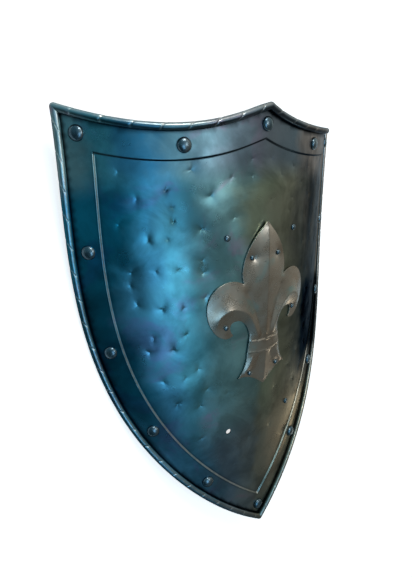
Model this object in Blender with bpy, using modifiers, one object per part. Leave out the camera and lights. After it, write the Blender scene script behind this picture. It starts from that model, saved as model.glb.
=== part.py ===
"""
Heater shield: one sheet of blued steel bent about its long axis, its edge rolled to the front,
a flat border, a sunk and hammered field, and a riveted fleur-de-lis of embossed sheet.

Metres, +Z up. The shield lies face up on its two side rims, with its top towards +Y.

The blank is drawn flat first, in three numbers: u runs across the bend from the middle,
v runs up from the level of the ears, and lift is the height over the back of the border.
bent() turns the three into a place in space.
"""

import math

import bmesh
import bpy
from mathutils import Vector
from mathutils.geometry import delaunay_2d_cdt

# The blank
HEIGHT = 0.5985                     # peak to tip, where the edges would meet
WIDTH = 0.473                       # ear to ear, measured round the bend
BEND_RADIUS = 0.311                 # of the sheet's back
SHEET = 0.0015
PEAK_RISE = 0.0026                  # peak over the left ear
TIP_AWAY = -0.004                   # tip off the middle

# The outline's halves, on the viewer's left and right, a little unlike as they were cut by hand:
# how far the ear is down, each curve's slopes in degrees, and its pulls as shares of half the width
# or of the height
LEFT = {"ear_down": 0.0, "peak_slope": 10.8, "peak_pull": 0.176, "ear_slope": 18.7, "ear_pull": 0.596,
        "flare": -1.9, "flare_pull": 0.289, "tip_slope": 39.2, "tip_pull": 0.612}
RIGHT = {"ear_down": 0.0126, "peak_slope": 28.9, "peak_pull": 0.256, "ear_slope": 3.9, "ear_pull": 0.373,
         "flare": 7.9, "flare_pull": 0.295, "tip_slope": 45.2, "tip_pull": 0.592}

# The rolled edge, the border and the field
ROLL_RADIUS = 0.0043
BORDER = 0.0355                     # outer edge to the step
STEP_WIDTH = 0.0022
STEP_DEPTH = 0.0018

# Hammer marks, on a blank of the size below: each row's v, then its marks' u
HAMMER_BLANK = (473, 598.5)
HAMMER_ROWS = (
    (-58, (-23, 8)), (-68, (-177, -100, 54, 98, 174)), (-77, (-51, -23, 28)),
    (-88, (-129, 76, 131)), (-96, (-160, -78, 158)), (-106, (-122, 9, 54, 104)),
    (-122, (-122, -181, -48, 48, 126, 182)), (-132, (-90, -10, 88, 154)), (-141, (-129, -151)),
    (-150, (122, 174)), (-168, (-90, 92)), (-176, (-172, -118, -145, 118, 146)), (-183, (-89,)),
    (-191, (-174, 171)), (-206, (88, 138)), (-214, (-168, -88, 114, 167)), (-222, (-114, -140)),
    (-246, (116, 152)), (-257, (-152, -112)), (-275, (-158, -130, 98, 130, 155)),
    (-306, (-99, 112, 142)), (-316, (-144, -116)), (-338, (-88, 86, 120)), (-351, (-128, -58, 62)),
    (-360, (-98,)), (-374, (106, 28)), (-384, (79, -12)), (-411, (-98, 92)), (-436, (18, -24)),
    (-470, (-48, 50)),
)
HAMMER_REACH = 0.0078
HAMMER_DEPTH = 0.0015
HAMMER_SIDES = 5
HAMMER_CLEAR = 0.0105               # from a mark's middle to any hole, line or other mark
HAMMER_ROOM = 0.4                   # share of the reach that a mark's corner keeps clear
HAMMER_TURN = 9000                  # degrees a mark is turned by, for each metre across
FIELD_PITCH = 0.0190                # of the plain points between the marks
FIELD_CLEAR = 0.0118                # from them to anything else

# Rivets: the radii of head, shank and peened tail, and the heights of the head's dome and the tail
TOP_RIVET_COUNT = 2                 # from the peak's rivet along each top curve to its ear
SIDE_RIVET_COUNT = 5                # and from the ear down each side to the tip
BORDER_RIVET = {"head": 0.0081, "dome": 0.0048, "shank": 0.0030, "tail": 0.0050, "peen": 0.0018,
                "sides": 10, "arcs": 3}
STRAP_RIVET = {"head": 0.0041, "dome": 0.0024, "shank": 0.0025, "tail": 0.0036, "peen": 0.0012,
               "sides": 8, "arcs": 2}
FLEUR_RIVET = {"head": 0.0033, "dome": 0.0020, "shank": 0.0016, "tail": 0.0027, "peen": 0.0010,
               "sides": 8, "arcs": 2}
STRAP_SPREAD = 0.1227               # the straps' rivets, each side of the middle, as a share of the width
STRAP_UPPER = 0.2426                # down from the ears, as shares of the height
STRAP_LOWER = 0.689
MISSING_RIVET = "lower_left"        # on the viewer's left
EMPTY_HOLE = {"shank": 0.0035, "sides": 10}
FIT_GAP = 0.0003
FACE_UP = 0.7                       # how squarely the lying shield's back must face down, at least

# The fleur-de-lis, and its right half on a figure of its own size with its top at 0, 0
FLEUR_HEIGHT = 0.225
FIGURE_HEIGHT = 225
FLEUR_DROP = 0.2171                 # its top under the ears, as a share of the shield's height
FLEUR_SHEET = 0.0016
FLEUR_SPRING = 0.0022               # how far its top stands off the field
FLEUR_RIVET_PAD = 0.0042
PETAL_EDGE = ((0, 0), (10, -10), (19, -19), (27, -29.5), (33, -41), (36.5, -53), (37.5, -64), (36, -74))
SIDE_PETAL_EDGE = ((36, -74), (47, -69.5), (60, -69), (72, -73.5), (81, -82), (86, -93), (87, -104),
                   (85.5, -115), (81, -126), (74, -135.5), (65, -141.5), (58, -142.5), (51, -140))
CURL_EDGE = ((51, -140), (54.5, -134), (55.5, -127.5), (52, -122.5), (45, -121.5), (38, -124),
             (32, -130), (28, -138), (26, -146), (26.5, -152))
FOOT_EDGE = ((30, -172), (31, -181), (35.5, -193.5), (44, -205))
FOOT_END = ((44, -205), (36, -204.2), (25, -207.5), (14, -214), (6, -220.5), (0, -225))
FLEUR_RIVETS = ((23, -43), (61.5, -127.5), (25, -201.3))

# Heights of its embossing over the sheet where it lies flat, along each line: u, v, height in mm
PETAL_RIDGE = ((0, -7, 2.6), (0, -30, 5.0), (0, -60, 6.0), (0, -95, 5.6), (0, -125, 5.0), (0, -149, 4.4))
SIDE_RIDGE = ((74, -122, 1.6), (72, -113, 3.2), (64, -106.5, 4.4), (56, -104, 5.0), (47, -105, 5.2),
              (38, -109, 5.2), (30, -116, 5.0), (23, -127, 4.6), (17, -140, 4.2), (14, -149, 3.6))
PETAL_CREASE = ((30, -86, 0.8), (24, -99, 1.2), (17, -116, 1.6), (11.5, -133, 2.0), (7.5, -149, 2.6))
FOOT_RIDGE = ((22, -178, 2.8), (27, -189, 2.4), (35, -200, 1.0))
FOOT_CREASE = ((10, -178, 1.6), (15, -191, 1.0), (19, -204, 0.3))
TOE_RIDGE = ((0, -178, 3.6), (0, -196, 3.0), (0, -218, 1.2))
BAND_TOP = ((0, -155.5), (13, -154.5), (24, -153))
BAND_FOOT = ((0, -174), (13, -173), (26.5, -171.2))
BAND_RISE = 5.0
BAND_STEP = 1.4
BAND_EDGE = 0.9                     # the slope along each long side of the band, across
BAND_FADE = 0.6                     # the share of its rise that is lost at its ends

# How finely the solids are drawn
OUTLINE_POINTS = 160                # along each curve of the drawing
ROLL_POINTS = 52                    # along half the rolled edge
ROLL_ARCS = 6
CORNER_ARCS = 3                     # that the rolled edge's outside takes round each corner
STEP_POINTS = 44
PAD_SIDES = 8
SHARP_ANGLE = 28.0                  # degrees
PLACE_DIGITS = 7                    # decimals of a metre that tell two points apart


def cubic(start, pull_out, pull_in, end, share):
    """A point on a cubic curve."""
    rest = 1.0 - share
    return (start * rest ** 3 + pull_out * 3 * rest ** 2 * share
            + pull_in * 3 * rest * share ** 2 + end * share ** 3)


def heading(degrees, side=1):
    """The flat direction that many degrees over the level, to the right or to the left."""
    return Vector((side * math.cos(math.radians(degrees)), math.sin(math.radians(degrees))))


def drawn(start, pull_out, pull_in, end):
    """A cubic curve as points."""
    return [cubic(start, pull_out, pull_in, end, i / OUTLINE_POINTS) for i in range(OUTLINE_POINTS + 1)]


def half_outline(side, cut):
    """The top curve and the side curve of one half, from the peak to the ear and on to the tip."""
    half = WIDTH / 2
    peak, tip = Vector((0, PEAK_RISE)), Vector((TIP_AWAY, PEAK_RISE - HEIGHT))
    ear = Vector((side * half, -cut["ear_down"]))
    top = drawn(peak, peak + heading(-cut["peak_slope"], side) * cut["peak_pull"] * half,
                ear + heading(180 + cut["ear_slope"], side) * cut["ear_pull"] * half, ear)
    down = drawn(ear, ear + heading(cut["flare"] - 90, side) * cut["flare_pull"] * HEIGHT,
                 tip + heading(cut["tip_slope"], side) * cut["tip_pull"] * HEIGHT, tip)
    return top, down


def edge_curves():
    """The blank's edge as four curves, clockwise from the peak."""
    right_top, right_side = half_outline(1, RIGHT)
    left_top, left_side = half_outline(-1, LEFT)
    return [right_top, right_side, left_side[::-1], left_top[::-1]]


def outward(curve):
    """For each point of a clockwise curve, the direction out of the blank."""
    ways = []
    for i in range(len(curve)):
        along = curve[min(i + 1, len(curve) - 1)] - curve[max(i - 1, 0)]
        ways.append(Vector((-along.y, along.x)).normalized())
    return ways


def crossing(a, b, c, d):
    """Where segment ab meets segment cd, or None."""
    one, two = b - a, d - c
    turn = one.x * two.y - one.y * two.x
    if abs(turn) < 1e-14:
        return None
    s = ((c.x - a.x) * two.y - (c.y - a.y) * two.x) / turn
    t = ((c.x - a.x) * one.y - (c.y - a.y) * one.x) / turn
    return a + one * s if 0 <= s <= 1 and 0 <= t <= 1 else None


def corner(one, two):
    """Where the end of one curve crosses the start of another, with each curve's point next to it."""
    for i in range(len(one) - 1, 0, -1):
        for j in range(len(two) // 2):
            place = crossing(one[i - 1], one[i], two[j], two[j + 1])
            if place is not None:
                return i, place, j + 1
    raise ValueError("the line is too far inside the edge")


def line_curves(distance):
    """The four curves of a line at one distance inside the edge, each ending where it meets the next."""
    curves = [[p - w * distance for p, w in zip(curve, outward(curve))] for curve in edge_curves()]
    corners = [corner(one, two) for one, two in zip(curves, curves[1:] + curves[:1])]
    cut = []
    for curve, (_, start, first), (last, end, _) in zip(curves, corners[-1:] + corners[:-1], corners):
        cut.append([start] + curve[first:last] + [end])
    return cut


def spaced(curve, count):
    """A curve as that many equal steps, both ends kept."""
    lengths = [0.0]
    for a, b in zip(curve, curve[1:]):
        lengths.append(lengths[-1] + (b - a).length)
    points, at = [], 0
    for i in range(count + 1):
        wanted = lengths[-1] * i / count
        while at < len(curve) - 2 and lengths[at + 1] < wanted:
            at += 1
        share = (wanted - lengths[at]) / (lengths[at + 1] - lengths[at])
        points.append(curve[at].lerp(curve[at + 1], share))
    return points


def spaced_curves(distance, count):
    """The four curves of a line inside the edge, with that many steps along each half of it."""
    top_count = round(count * (WIDTH / 2) / (WIDTH / 2 + HEIGHT))
    counts = (top_count, count - top_count, count - top_count, top_count)
    return [spaced(curve, steps) for curve, steps in zip(line_curves(distance), counts)]


def closed_line(distance, count):
    """A line inside the edge as one closed loop, seen anticlockwise from the front."""
    loop = [point for curve in spaced_curves(distance, count) for point in curve[:-1]]
    return loop[::-1]


def roll_row(inset):
    """One row along the rolled edge: round the corners outside its middle line, and sharp inside it.

    Every row has the same number of points, so a sharp corner is there several times.
    """
    curves = spaced_curves(max(inset, ROLL_RADIUS), ROLL_POINTS)
    ways = [outward(curve) for curve in curves]
    beyond = max(0.0, ROLL_RADIUS - inset)
    row = []
    for curve, way, following in zip(curves, ways, ways[1:] + ways[:1]):
        way += [way[-1].lerp(following[0], i / CORNER_ARCS).normalized() for i in range(1, CORNER_ARCS)]
        curve += [curve[-1]] * (CORNER_ARCS - 1)
        row += [p + w * beyond for p, w in zip(curve, way)]
    return row[::-1]


def mirrored(point):
    """The point across the middle."""
    return Vector((-point.x, point.y))


def bent(u, v, lift):
    """The flat blank's point as a place on the bent shield."""
    angle = u / BEND_RADIUS
    radius = BEND_RADIUS + lift
    return Vector((radius * math.sin(angle), v, radius * math.cos(angle) - BEND_RADIUS))


def circle(centre, radius, sides, turn=0.0):
    """A round as flat points, anticlockwise."""
    return [centre + heading(turn + 360 * i / sides) * radius for i in range(sides)]


class Sheet:
    """A flat drawing of a sheet's front face: loops, lines and points, each with its lift."""

    def __init__(self):
        self.points, self.lifts, self.edges, self.holes = [], [], [], []

    def add(self, points, lifts):
        """Add loose points, and return their numbers."""
        first = len(self.points)
        self.points += [Vector(p) for p in points]
        self.lifts += lifts
        return list(range(first, len(self.points)))

    def line(self, points, lifts):
        """Add a line whose edges the triangles keep."""
        numbers = self.add(points, lifts)
        self.edges += list(zip(numbers, numbers[1:]))
        return numbers

    def loop(self, points, lifts):
        """Add a closed line."""
        numbers = self.line(points, lifts)
        self.edges.append((numbers[-1], numbers[0]))
        return numbers

    def hole(self, centre, rivet, lift):
        """Add a hole whose flats clear a rivet's round shank by the gap."""
        flat, sides = rivet["shank"] + FIT_GAP, rivet["sides"]
        numbers = self.loop(circle(centre, flat / math.cos(math.pi / sides), sides), [lift] * sides)
        self.holes.append((centre, flat, numbers))

    def clear_of(self, point, distance):
        """Whether no drawn point is nearer than the distance."""
        return all((point - p).length > distance for p in self.points)

    def triangles(self):
        """The sheet's triangles, anticlockwise, with the holes left open."""
        places, _, faces, sources, _, _ = delaunay_2d_cdt(self.points, self.edges, [], 1, 1e-7)
        number = [source[0] for source in sources]
        kept = []
        for a, b, c in faces:
            middle = (places[a] + places[b] + places[c]) / 3
            if any((middle - centre).length < flat for centre, flat, _ in self.holes):
                continue
            turn = (places[b] - places[a]).cross(places[c] - places[a])
            kept.append((number[a], number[b], number[c]) if turn > 0 else (number[a], number[c], number[b]))
        return kept

    def solid(self, thickness, rings, edge):
        """The bent sheet as a closed mesh. Rings lead round its edge, from front to back."""
        bm = bmesh.new()

        def place(points, lifts):
            keys, made = [p.to_tuple(PLACE_DIGITS) for p in points], {}
            for key, p, lift in zip(keys, points, lifts):
                if key not in made:
                    made[key] = bm.verts.new(bent(p.x, p.y, lift))
            return [made[key] for key in keys]

        def face(*corners):
            corners = list(dict.fromkeys(corners))
            if len(corners) > 2:
                bm.faces.new(corners)

        front = place(self.points, self.lifts)
        back = place(self.points, [lift - thickness for lift in self.lifts])
        for a, b, c in self.triangles():
            face(front[a], front[b], front[c])
            face(back[c], back[b], back[a])
        for _, _, numbers in self.holes:
            for a, b in zip(numbers, numbers[1:] + numbers[:1]):
                face(front[a], front[b], back[b], back[a])
        strips = [[front[i] for i in edge]]
        strips += [place(points, lifts) for points, lifts in rings]
        strips.append([back[i] for i in edge])
        for one, two in zip(strips, strips[1:]):
            for i in range(len(edge)):
                j = (i + 1) % len(edge)
                face(one[j], one[i], two[i], two[j])
        bmesh.ops.delete(bm, geom=[v for v in bm.verts if not v.link_faces], context="VERTS")
        return bm


def finished(name, bm, material, collection, pose):
    """A mesh as a named object of the shield."""
    mesh = bpy.data.meshes.new(name)
    bm.to_mesh(mesh)
    bm.free()
    mesh.shade_smooth()
    mesh.set_sharp_from_angle(angle=math.radians(SHARP_ANGLE))
    mesh.materials.append(material)
    piece = bpy.data.objects.new(name, mesh)
    collection.objects.link(piece)
    piece.parent = pose
    return piece


def metal(name, colour, roughness):
    """A plain steel finish."""
    material = bpy.data.materials.new(name)
    material.use_nodes = True
    shader = material.node_tree.nodes["Principled BSDF"]
    shader.inputs["Base Color"].default_value = (*colour, 1)
    shader.inputs["Metallic"].default_value = 1.0
    shader.inputs["Roughness"].default_value = roughness
    material.diffuse_color = (*colour, 1)
    return material


def border_rivet_places():
    """Down the middle of the border, in equal steps along each top curve and each side."""
    counts = (TOP_RIVET_COUNT, SIDE_RIVET_COUNT, SIDE_RIVET_COUNT, TOP_RIVET_COUNT)
    curves = line_curves(ROLL_RADIUS + BORDER / 2)
    return [point for curve, count in zip(curves, counts) for point in spaced(curve, count)[:-1]]


def strap_places():
    """The straps' four holes by name."""
    return {f"{level}_{side}": Vector((away * STRAP_SPREAD * WIDTH, -drop * HEIGHT))
            for level, drop in (("upper", STRAP_UPPER), ("lower", STRAP_LOWER))
            for side, away in (("left", -1), ("right", 1))}


def on_fleur(point, side=1):
    """A point of the fleur-de-lis's figure on the blank."""
    unit = FLEUR_HEIGHT / FIGURE_HEIGHT
    return Vector((side * point[0] * unit, point[1] * unit - FLEUR_DROP * HEIGHT))


def fleur_rivet_places():
    """Its six rivets, on both halves."""
    return [on_fleur(p, side) for p in FLEUR_RIVETS for side in (-1, 1)]


def hammer_places():
    """The hammer marks on this blank."""
    wide, high = HAMMER_BLANK
    return [Vector((u * WIDTH / wide, v * HEIGHT / high)) for v, row in HAMMER_ROWS for u in row]


def inside(point, loop):
    """Whether a flat point is inside a closed loop."""
    within = False
    for a, b in zip(loop, loop[1:] + loop[:1]):
        if (a.y > point.y) != (b.y > point.y) and point.x < a.x + (b.x - a.x) * (point.y - a.y) / (b.y - a.y):
            within = not within
    return within


def draw_field(sheet, step_foot):
    """The hammered field: its marks, and plain points between them."""
    field = SHEET - STEP_DEPTH
    marks = []
    for mark in hammer_places():
        around = circle(mark, HAMMER_CLEAR, PAD_SIDES)
        if all(inside(p, step_foot) for p in around) and sheet.clear_of(mark, HAMMER_CLEAR):
            marks.append(mark)
    for mark in marks:
        ring = circle(mark, HAMMER_REACH, HAMMER_SIDES, turn=mark.x * HAMMER_TURN)
        ring = [p for p in ring if sheet.clear_of(p, HAMMER_REACH * HAMMER_ROOM)]
        sheet.add(ring, [field] * len(ring))
        sheet.add([mark], [field - HAMMER_DEPTH])
    row_pitch = FIELD_PITCH * math.sin(math.radians(60))
    across, down = round(WIDTH / FIELD_PITCH), round(HEIGHT / row_pitch)
    for row in range(down + 1):
        for column in range(-across, across + 1):
            point = Vector(((column + row % 2 / 2) * FIELD_PITCH, PEAK_RISE - row * row_pitch))
            if inside(point, step_foot) and sheet.clear_of(point, FIELD_CLEAR):
                sheet.add([point], [field])


def make_plate(material, collection, pose):
    """The bent sheet with its rolled edge, border, step, field and holes."""
    sheet = Sheet()
    field = SHEET - STEP_DEPTH
    foot = roll_row(ROLL_RADIUS + math.sqrt(ROLL_RADIUS ** 2 - (ROLL_RADIUS - SHEET) ** 2))
    edge = sheet.loop(foot, [SHEET] * len(foot))
    step_top = closed_line(BORDER, STEP_POINTS)
    sheet.loop(step_top, [SHEET] * len(step_top))
    step_foot = closed_line(BORDER + STEP_WIDTH, STEP_POINTS)
    sheet.loop(step_foot, [field] * len(step_foot))
    for place in border_rivet_places():
        sheet.hole(place, BORDER_RIVET, SHEET)
    for name, place in strap_places().items():
        sheet.hole(place, EMPTY_HOLE if name == MISSING_RIVET else STRAP_RIVET, field)
    for place in fleur_rivet_places():
        sheet.hole(place, FLEUR_RIVET, field)
    draw_field(sheet, step_foot)

    start = math.asin((SHEET - ROLL_RADIUS) / ROLL_RADIUS)
    rings = []
    for arc in range(1, ROLL_ARCS + 1):
        angle = start + (1.5 * math.pi - start) * arc / ROLL_ARCS
        row = roll_row(ROLL_RADIUS * (1 + math.cos(angle)))
        rings.append((row, [ROLL_RADIUS * (1 + math.sin(angle))] * len(row)))
    return finished("shield_plate", sheet.solid(SHEET, rings, edge), material, collection, pose)


def through(points, parts):
    """A smooth curve through the points, each stretch in that many parts."""
    ends = [points[0] * 2 - points[1]] + points + [points[-1] * 2 - points[-2]]
    curve = []
    for a, b, c, d in zip(ends, ends[1:], ends[2:], ends[3:]):
        for i in range(parts):
            curve.append(cubic(b, b + (c - a) / 6, c - (d - b) / 6, c, i / parts))
    return curve + [points[-1]]


def fleur_outline():
    """The figure's edge, anticlockwise from its top: smooth curves between corners."""
    half = []
    for curve, parts in ((PETAL_EDGE, 1), (SIDE_PETAL_EDGE, 2), (CURL_EDGE, 2), (FOOT_EDGE, 2),
                         (FOOT_END, 1)):
        smooth = through([on_fleur(p) for p in curve], parts)
        half += smooth[1:] if half and (smooth[0] - half[-1]).length < 1e-6 else smooth
    left = [mirrored(p) for p in half]
    return left + list(reversed(half[1:-1]))


def make_fleur(material, collection, pose):
    """The embossed fleur-de-lis: its edge lies on the field and its ridges stand up from it."""
    sheet = Sheet()
    flat = SHEET - STEP_DEPTH + FIT_GAP + FLEUR_SHEET
    scale = FLEUR_HEIGHT / FIGURE_HEIGHT
    top, held = on_fleur((0, 0)).y, on_fleur(FLEUR_RIVETS[0]).y

    def spring(point):
        return FLEUR_SPRING * max(0.0, (point.y - held) / (top - held))

    outline = fleur_outline()
    edge = sheet.loop(outline, [flat + spring(p) for p in outline])
    for place in fleur_rivet_places():
        sheet.hole(place, FLEUR_RIVET, flat)
        pad = circle(place, FLEUR_RIVET_PAD, PAD_SIDES)
        sheet.add(pad, [flat] * len(pad))
    for side in (-1, 1):
        for ridge in (SIDE_RIDGE, PETAL_CREASE, FOOT_RIDGE, FOOT_CREASE):
            points = [on_fleur(p, side) for p in ridge]
            sheet.line(points, [flat + p[2] * scale for p in ridge])
    for ridge in (PETAL_RIDGE, TOE_RIDGE):
        points = [on_fleur(p) for p in ridge]
        sheet.line(points, [flat + p[2] * scale + spring(q) for p, q in zip(ridge, points)])
    for rim, slope in ((BAND_TOP, -1), (BAND_FOOT, 1)):
        across = [on_fleur(p, -1) for p in reversed(rim)] + [on_fleur(p) for p in rim[1:]]
        fade = [1 - BAND_FADE * abs(i - len(rim) + 1) / (len(rim) - 1) for i in range(len(across))]
        low = [flat + (BAND_RISE - BAND_STEP) * f * scale for f in fade]
        high = [flat + BAND_RISE * f * scale for f in fade]
        sheet.line(across, low)
        sheet.line([p + Vector((0, slope * BAND_EDGE * scale)) for p in across], high)
    return finished("fleur_de_lis", sheet.solid(FLEUR_SHEET, [], edge), material, collection, pose)


def rivet_profile(size, grip):
    """Half a rivet's outline from its top down: dome, shank through the grip, peened tail."""
    seat = grip + FIT_GAP
    angles = [math.pi / 2 * i / size["arcs"] for i in range(size["arcs"] + 1)]
    points = [(size["head"] * math.sin(a), seat + size["dome"] * math.cos(a)) for a in angles]
    points += [(size["shank"], seat), (size["shank"], -FIT_GAP)]
    return points + [(size["tail"], -FIT_GAP), (0, -FIT_GAP - size["peen"])]


def rivet_mesh(name, size, grip, material):
    """A rivet's profile as a mesh, to be turned."""
    profile = rivet_profile(size, grip)
    mesh = bpy.data.meshes.new(name)
    mesh.from_pydata([(r, 0, z) for r, z in profile], [(i, i + 1) for i in range(len(profile) - 1)], [])
    mesh.materials.append(material)
    return mesh


def add_rivet(name, mesh, sides, place, base, collection, pose):
    """One rivet, square to the bent sheet at its place, on the sheet's back at that lift."""
    rivet = bpy.data.objects.new(name, mesh)
    rivet.location = bent(place.x, place.y, base)
    rivet.rotation_euler = (0, place.x / BEND_RADIUS, 0)
    turned = rivet.modifiers.new("turned", "SCREW")
    turned.steps = turned.render_steps = sides
    turned.use_merge_vertices = True
    turned.merge_threshold = 0.00001
    turned.use_smooth_shade = True
    collection.objects.link(rivet)
    rivet.parent = pose


def make_rivets(material, collection, pose):
    """All the rivets: the border's, the straps' three that are left, and the fleur-de-lis's."""
    field_back = -STEP_DEPTH
    border = rivet_mesh("border_rivet", BORDER_RIVET, SHEET, material)
    for i, place in enumerate(border_rivet_places()):
        add_rivet(f"border_rivet_{i + 1:02d}", border, BORDER_RIVET["sides"], place, 0, collection, pose)
    strap = rivet_mesh("strap_rivet", STRAP_RIVET, SHEET, material)
    for name, place in strap_places().items():
        if name != MISSING_RIVET:
            add_rivet(f"strap_rivet_{name}", strap, STRAP_RIVET["sides"], place, field_back, collection, pose)
    fleur = rivet_mesh("fleur_rivet", FLEUR_RIVET, SHEET + FIT_GAP + FLEUR_SHEET, material)
    for i, place in enumerate(fleur_rivet_places()):
        add_rivet(f"fleur_rivet_{i + 1}", fleur, FLEUR_RIVET["sides"], place, field_back, collection, pose)


def rest(centre, corners):
    """A face of the hull to rest on: how far inside it the weight falls, and which way it faces."""
    a, b, c = corners
    way = (b - a).cross(c - a).normalized()
    if way.dot(a - centre) < 0:
        b, c, way = c, b, -way
    room = min((centre - p).dot(way.cross(q - p).normalized()) for p, q in ((a, b), (b, c), (c, a)))
    return room, way


def lay_down(pose, plate):
    """Turn and lower the shield so that it rests face up on its rims under its own weight."""
    area, weighed = 0.0, Vector((0, 0, 0))
    for face in plate.data.polygons:
        area += face.area
        weighed += face.center * face.area
    hull = bmesh.new()
    for vertex in plate.data.vertices:
        hull.verts.new(vertex.co)
    bmesh.ops.convex_hull(hull, input=hull.verts)
    bmesh.ops.triangulate(hull, faces=hull.faces)
    rests = [rest(weighed / area, [v.co for v in face.verts]) for face in hull.faces]
    hull.free()
    room, way = max((r for r in rests if r[1].z < -FACE_UP), key=lambda r: r[0])
    turn = way.rotation_difference(Vector((0, 0, -1)))
    turned = [turn @ v.co for v in plate.data.vertices]
    low = Vector([min(p[k] for p in turned) for k in range(3)])
    high = Vector([max(p[k] for p in turned) for k in range(3)])
    pose.rotation_euler = turn.to_euler()
    pose.location = (-(low.x + high.x) / 2, -(low.y + high.y) / 2, -low.z)


def build():
    """The whole shield."""
    for thing in list(bpy.data.objects):
        bpy.data.objects.remove(thing, do_unlink=True)
    collection = bpy.data.collections.new("heater_shield")
    bpy.context.scene.collection.children.link(collection)
    pose = bpy.data.objects.new("shield_pose", None)
    collection.objects.link(pose)
    blued = metal("blued_steel", (0.055, 0.105, 0.125), 0.34)
    burnished = metal("burnished_steel", (0.27, 0.25, 0.22), 0.3)
    bright = metal("rivet_steel", (0.30, 0.34, 0.35), 0.28)
    plate = make_plate(blued, collection, pose)
    make_fleur(burnished, collection, pose)
    make_rivets(bright, collection, pose)
    lay_down(pose, plate)
    bpy.context.view_layer.update()


build()
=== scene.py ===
"""
The looks of a heater shield of blued steel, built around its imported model.

Metres, +Z up. The shield lies face up on its side rims, with its top towards +Y.

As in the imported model, the blank is drawn flat first: u runs across the bend from the middle,
v runs up from the level of the ears, and lift is the height over the back of the border.
bent() turns the three into a place on the bent shield, and laid() lays the shield down.
"""

import math

import bpy
import numpy as np
from mathutils import Euler, Matrix, Vector
from mathutils.geometry import delaunay_2d_cdt


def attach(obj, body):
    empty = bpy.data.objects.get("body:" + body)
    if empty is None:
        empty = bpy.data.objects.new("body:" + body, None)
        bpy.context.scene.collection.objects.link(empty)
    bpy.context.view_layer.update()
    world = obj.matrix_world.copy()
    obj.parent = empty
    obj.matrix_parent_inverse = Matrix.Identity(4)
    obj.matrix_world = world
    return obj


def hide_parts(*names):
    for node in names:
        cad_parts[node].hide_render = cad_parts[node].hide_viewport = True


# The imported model's sizes
HEIGHT = 0.5985
WIDTH = 0.473
BEND_RADIUS = 0.311
SHEET = 0.0015
PEAK_RISE = 0.0026
TIP_AWAY = -0.004
LEFT = {"ear_down": 0.0, "peak_slope": 10.8, "peak_pull": 0.176, "ear_slope": 18.7, "ear_pull": 0.596,
        "flare": -1.9, "flare_pull": 0.289, "tip_slope": 39.2, "tip_pull": 0.612}
RIGHT = {"ear_down": 0.0126, "peak_slope": 28.9, "peak_pull": 0.256, "ear_slope": 3.9, "ear_pull": 0.373,
         "flare": 7.9, "flare_pull": 0.295, "tip_slope": 45.2, "tip_pull": 0.592}
ROLL_RADIUS = 0.0043
BORDER = 0.0355
STEP_WIDTH = 0.0022
STEP_DEPTH = 0.0018
TOP_RIVET_COUNT = 2
SIDE_RIVET_COUNT = 5
STRAP_SPREAD = 0.1227
STRAP_UPPER = 0.2426
STRAP_LOWER = 0.689
MISSING_RIVET = "lower_left"
HOLE_RADIUS = 0.0038
FIT_GAP = 0.0003
FIELD = SHEET - STEP_DEPTH
LIE_TURN = (0.153970, 0.004602, 0.000355)
LIE_AT = (-0.002206, 0.288869, 0.116191)
LIE_MATRIX = np.array(Euler(LIE_TURN).to_matrix())

# Hammer marks, on a blank of the size below: each row's v, then its marks' u
HAMMER_BLANK = (473, 598.5)
HAMMER_ROWS = (
    (-58, (-23, 8)), (-68, (-177, -100, 54, 98, 174)), (-77, (-51, -23, 28)),
    (-88, (-129, 76, 131)), (-96, (-160, -78, 158)), (-106, (-122, 9, 54, 104)),
    (-122, (-122, -181, -48, 48, 126, 182)), (-132, (-90, -10, 88, 154)), (-141, (-129, -151)),
    (-150, (122, 174)), (-168, (-90, 92)), (-176, (-172, -118, -145, 118, 146)), (-183, (-89,)),
    (-191, (-174, 171)), (-206, (88, 138)), (-214, (-168, -88, 114, 167)), (-222, (-114, -140)),
    (-246, (116, 152)), (-257, (-152, -112)), (-275, (-158, -130, 98, 130, 155)),
    (-306, (-99, 112, 142)), (-316, (-144, -116)), (-338, (-88, 86, 120)), (-351, (-128, -58, 62)),
    (-360, (-98,)), (-374, (106, 28)), (-384, (79, -12)), (-411, (-98, 92)), (-436, (18, -24)),
    (-470, (-48, 50)),
)
MARK_DEPTH = 0.0008                 # of the soft hollow
MARK_FALL = 0.0120                  # distance in which it fades to a third
MARK_REACH = 0.030
MARK_PINCH = 0.00042                # more depth in its sharp middle
MARK_POINT = 0.0020                 # distance in which that fades to a third
MARK_RINGS = ((0.0007, 8), (0.0014, 10), (0.0022, 12), (0.0032, 14), (0.0045, 16), (0.0062, 18), (0.0085, 20))
MARK_GAP = 0.0010                   # between the rings of neighbouring marks
MARK_MIDDLE = 0.004                 # distance in which the hollow's unevenness starts
RING_TURN = 13                      # degrees for each side of a ring, so that rings don't line up
MARK_TURN = 37                      # and for each mark
MARK_TO_STEP = 0.005                # marks nearer to the step than this are left out
WAVE_HEIGHT = 0.00009               # of the sheet's soft waves
WAVES = ((61, 23, 0.4), (-37, 71, 1.9), (97, -41, 4.1))
WAVE_START = 0.02                   # distance from the border in which they reach full height

# The rolled edge's slanted tool marks
NOTCH_PITCH = 0.030
NOTCH_DEPTH = 0.0007
NOTCH_WIDTH = 0.0009
NOTCH_SLANT = 0.9
NOTCH_SPAN = (0.15 * math.pi, 0.35, 1.05 * math.pi, 0.6)
NOTCH_STATIONS = (-0.00480, -0.00336, -0.00224, -0.00112, 0.0, 0.00112, 0.00224, 0.00336, 0.00480)
NOTCH_CLEAR = 0.0062                # from a tool mark to the nearest plain station
ROLL_TRIM = 0.0003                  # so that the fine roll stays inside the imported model's flat faces
TRIM_SPAN = (0.1 * math.pi, 0.8, 1.25 * math.pi, 0.7)

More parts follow.
